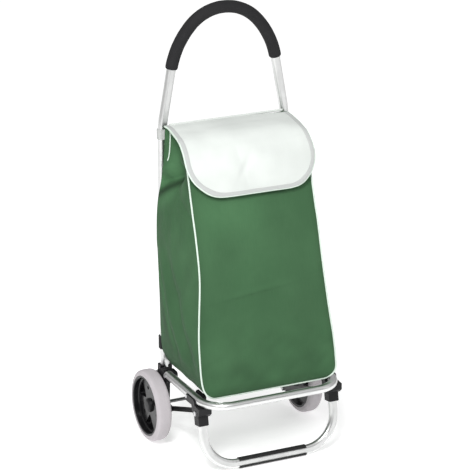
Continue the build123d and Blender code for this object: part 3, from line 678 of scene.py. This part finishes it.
def edge_points():
    """The flap's free edge as (x, distance down), from the back left corner to the back right."""
    pts = []
    for side in (-1, 1):
        a, b = CORNERS[side]
        top = 1 - b / FLAP_LENGTH
        run = [(side * flap_half(top * i / 40, side), top * i / 40 * FLAP_LENGTH) for i in range(40)]
        half = flap_half(top, side)
        for i in range(41):
            x = side * (half - a + a * math.cos(math.pi / 2 * i / 40))
            run.append((x, flap_foot(x) * FLAP_LENGTH))
        pts.append(run)
    line = pts[0] + pts[1][::-1]
    lengths = [0.0]
    for p, q in zip(line[:-1], line[1:]):
        lengths.append(lengths[-1] + math.dist(p, q))
    out, k = [], 0
    for i in range(EDGE_STEPS + 1):
        d = lengths[-1] * i / EDGE_STEPS
        while k < len(line) - 2 and lengths[k + 1] < d:
            k += 1
        f = (d - lengths[k]) / max(lengths[k + 1] - lengths[k], 1e-9)
        out.append((line[k][0] + (line[k + 1][0] - line[k][0]) * f,
                    line[k][1] + (line[k + 1][1] - line[k][1]) * f))
    return out


EDGE = edge_points()
# the tape's section, wrapped round the edge: distance in from the edge, and height off the cloth
TAPE = [(0.0105, -0.0013), (0.0096, -0.0020), (0.0024, -0.0022), (-0.0010, -0.0016), (-0.0019, 0.0),
        (-0.0010, 0.0016), (0.0024, 0.0022), (0.0096, 0.0020), (0.0105, 0.0013)]


def tape_point(q, w):
    """Bound edge: up the inner face, round the edge, and back over the outer face."""
    i = min(int(round(q * EDGE_STEPS)), EDGE_STEPS)
    (xa, da), (xb, db) = EDGE[max(i - 2, 0)], EDGE[min(i + 2, EDGE_STEPS)]
    along = Vector((xb - xa, db - da)).normalized()
    k = w * (len(TAPE) - 1)
    j = min(int(k), len(TAPE) - 2)
    f = k - j
    inset = TAPE[j][0] * (1 - f) + TAPE[j + 1][0] * f
    lift = TAPE[j][1] * (1 - f) + TAPE[j + 1][1] * f
    x = EDGE[i][0] + along.y * inset
    d = EDGE[i][1] - along.x * inset
    return flap_surface(x, d / FLAP_LENGTH, lift)


tape = grid("flap_tape", EDGE_STEPS, 16)
lay(tape, tape_point, size_u=0.75, size_v=0.03)
weld(tape, 0.00001)
smooth(tape, 50)
tape.data.materials.clear()
tape.data.materials.append(tape_grey)
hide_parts("flap_binding")
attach(tape, "flap")

# white cord round the tape's outer edge, a painted highlight where that edge catches the light
rim = piped("flap_tape_edge", [flap_surface(x, d / FLAP_LENGTH) for x, d in EDGE[::4]], 0.0021)
rim.data.materials.append(piping_white)
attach(rim, "flap")

# ------------------------------------------------------------------ foam grip
GRIP_HALF, GRIP_END, GRIP_TOP, GRIP_R, HANDLE_Y = 0.127, 0.8625, 0.990, 0.014, 0.108
BEND_Z, HANDLE_HALF, TOP_R = 0.735, 0.150, 0.110


def shoulder(start):
    low, high = 0.05, start - 0.05
    for _ in range(60):
        turn = (low + high) / 2
        by_width = (GRIP_HALF - TOP_R * math.sin(turn)) / (math.sin(start) - math.sin(turn))
        by_height = (GRIP_TOP - GRIP_END - TOP_R * (1 - math.cos(turn))) / (math.cos(turn) - math.cos(start))
        low, high = (turn, high) if by_width < by_height else (low, turn)
    return by_width, turn


HEADING = math.pi / 2 - math.atan2(HANDLE_HALF - GRIP_HALF, GRIP_END - BEND_Z)
SIDE_R, MEET = shoulder(HEADING)


def arch(q):
    """Centre and heading on the handle's arch, q from 0 at the left end to 1 at the right."""
    side_len, top_len = SIDE_R * (HEADING - MEET), TOP_R * MEET
    mirrored = q > 0.5
    d = (1 - q if mirrored else q) * 2 * (side_len + top_len)
    if d < side_len:
        h = HEADING - d / SIDE_R
        x = -GRIP_HALF + SIDE_R * (math.sin(HEADING) - math.sin(h))
        z = GRIP_END + SIDE_R * (math.cos(h) - math.cos(HEADING))
    else:
        h = MEET - (d - side_len) / TOP_R
        x, z = -TOP_R * math.sin(h), GRIP_TOP - TOP_R * (1 - math.cos(h))
    return (-x, z, -h) if mirrored else (x, z, h)


def foam_point(q, w):
    """Round foam sleeve, closed at its ends, with a fine seam along the inner side."""
    end = 0.006
    total = 2 * (SIDE_R * (HEADING - MEET) + TOP_R * MEET)
    d = min(q, 1 - q) * total
    radius = GRIP_R
    if d < end:
        k = d / end
        radius = 0.0112 + (GRIP_R - 0.0112) * math.sqrt(max(0.0, 1 - (1 - k) ** 2))
    x, z, h = arch(q)
    a = 2 * math.pi * w
    radius += 0.00025 * ripple(q * total, math.cos(a) * 0.03, 4.0, 0.012)
    radius -= 0.0006 * math.exp(-((w - 0.5) / 0.012) ** 2)
    out = Vector((-math.sin(h), 0, math.cos(h)))
    return Vector((x, HANDLE_Y, z)) + (out * math.cos(a) + Vector((0, 1, 0)) * math.sin(a)) * radius


foam = grid("grip_foam", 200, 48)
lay(foam, foam_point, size_u=0.45, size_v=0.088)
weld(foam, 0.00002)
smooth(foam, 60)
foam.data.materials.clear()
foam.data.materials.append(foam_black)
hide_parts("handle_grip")
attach(foam, "frame")

# ------------------------------------------------------------------ tyres
WHEEL_IN, WHEEL_OUT, WHEEL_R, HUB_R, AXLE_Y = 0.1745, 0.209, 0.0825, 0.0701, 0.092
ZIGZAGS = 60
SHOULDER = 0.0072                                     # how far the tread drops at its two edges
GROOVES = (-0.0099, -0.0033, 0.0033, 0.0099)          # where the tread grooves run across the tyre


def tyre_profile(w):
    """Offset from the tyre's middle, radius and share of tread, w from inner bead to outer bead."""
    half = (WHEEL_OUT - WHEEL_IN) / 2
    if w < 0.22 or w > 0.78:
        side = -1 if w < 0.5 else 1
        k = w / 0.22 if side < 0 else (1 - w) / 0.22
        return side * (half - 0.0003 * math.sin(math.pi * k)), HUB_R + (WHEEL_R - SHOULDER - HUB_R) * k, 0.0
    a = (w - 0.5) / 0.28                              # -1 to 1 over the shoulders and the tread
    bulge = math.sin(a * math.pi / 2)
    return half * bulge, WHEEL_R - SHOULDER * abs(bulge) ** 5.5, 1 - step(0.62, 0.86, abs(a))


def tyre_point(side):
    def place(u, w):
        x, r, tread = tyre_profile(w)
        phase = (u * ZIGZAGS) % 1.0
        zig = (abs(phase - 0.5) * 4 - 1) * 0.0022
        groove = 0.0
        for centre in GROOVES:
            groove = max(groove, math.exp(-((x - centre - zig) / 0.0008) ** 2))
        r -= 0.0008 * groove * tread
        a = 2 * math.pi * u
        return Vector((side * (WHEEL_IN + WHEEL_OUT) / 2 + x * side, AXLE_Y + r * math.cos(a),
                       WHEEL_R + r * math.sin(a)))
    return place


for side, label in ((-1, "left"), (1, "right")):
    tyre = grid(f"tread_{label}", 480, 84)
    lay(tyre, tyre_point(side), size_u=0.52, size_v=0.06)
    weld(tyre, 0.00001)
    wall(tyre, 0.003, offset=-1.0)
    smooth(tyre, 60)
    tyre.data.materials.clear()
    tyre.data.materials.append(tyre_pale)
    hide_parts(f"tyre_{label}")
    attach(tyre, f"wheel_{label}")

# ------------------------------------------------------------------ studio
clear()
bpy.ops.mesh.primitive_plane_add(size=30, location=(0, 0, 0))
floor = bpy.context.object
floor.name = "floor"
m, t, shader = material("pale floor", 0.85)         # glows slightly, so that it stays near white
shader.inputs["Base Color"].default_value = (0.90, 0.90, 0.90, 1)
shader.inputs["Emission Color"].default_value = (1, 1, 1, 1)
shader.inputs["Emission Strength"].default_value = 0.47
floor.data.materials.append(m)

world = bpy.data.worlds.new("studio")
bpy.context.scene.world = world
world.use_nodes = True
sky = world.node_tree
direction = sky.nodes.new("ShaderNodeTexCoord")
split = sky.nodes.new("ShaderNodeSeparateXYZ")
sky.links.new(direction.outputs["Generated"], split.inputs[0])
rise = sky.nodes.new("ShaderNodeMapRange")
rise.inputs["From Min"].default_value = 0.05
rise.inputs["From Max"].default_value = 0.75
rise.inputs["To Min"].default_value = 0.24
rise.inputs["To Max"].default_value = 0.70
sky.links.new(split.outputs[2], rise.inputs["Value"])
sky.links.new(rise.outputs[0], sky.nodes["Background"].inputs[1])
sky.nodes["Background"].inputs[0].default_value = (1, 1, 1, 1)


def area(name, location, target, size, power):
    data = bpy.data.lights.new(name, "AREA")
    data.shape = "RECTANGLE"
    data.size, data.size_y = size
    data.energy = power
    lamp = bpy.data.objects.new(name, data)
    bpy.context.scene.collection.objects.link(lamp)
    lamp.location = location
    lamp.rotation_euler = (Vector(target) - Vector(location)).to_track_quat("-Z", "Y").to_euler()
    return lamp


area("key", (-1.15, -1.60, 2.3), (0, 0, 0.66), (0.8, 0.8), 60)
area("fill", (2.4, -1.6, 1.6), (0, 0, 0.5), (1.2, 1.2), 5)

AZ, EL, DIST = math.radians(25.5), math.radians(19.2), 5.3656
AIM = Vector((0, 0.0124, 0.5))
LENS = 184.45                                         # millimetres, on a sensor 36 mm wide
SHIFT = (-0.01553, -0.01021)                          # shares of the sensor's width
back = Vector((-math.sin(AZ) * math.cos(EL), -math.cos(AZ) * math.cos(EL), math.sin(EL)))
camera_data = bpy.data.cameras.new("camera")
camera = bpy.data.objects.new("camera", camera_data)
bpy.context.scene.collection.objects.link(camera)
camera.location = AIM + back * DIST
camera.rotation_euler = back.to_track_quat("Z", "Y").to_euler()
camera_data.sensor_width = 36.0
camera_data.lens = LENS
camera_data.shift_x, camera_data.shift_y = SHIFT
camera_data.clip_end = 100
bpy.context.scene.camera = camera
bpy.context.scene.view_settings.view_transform = "Standard"
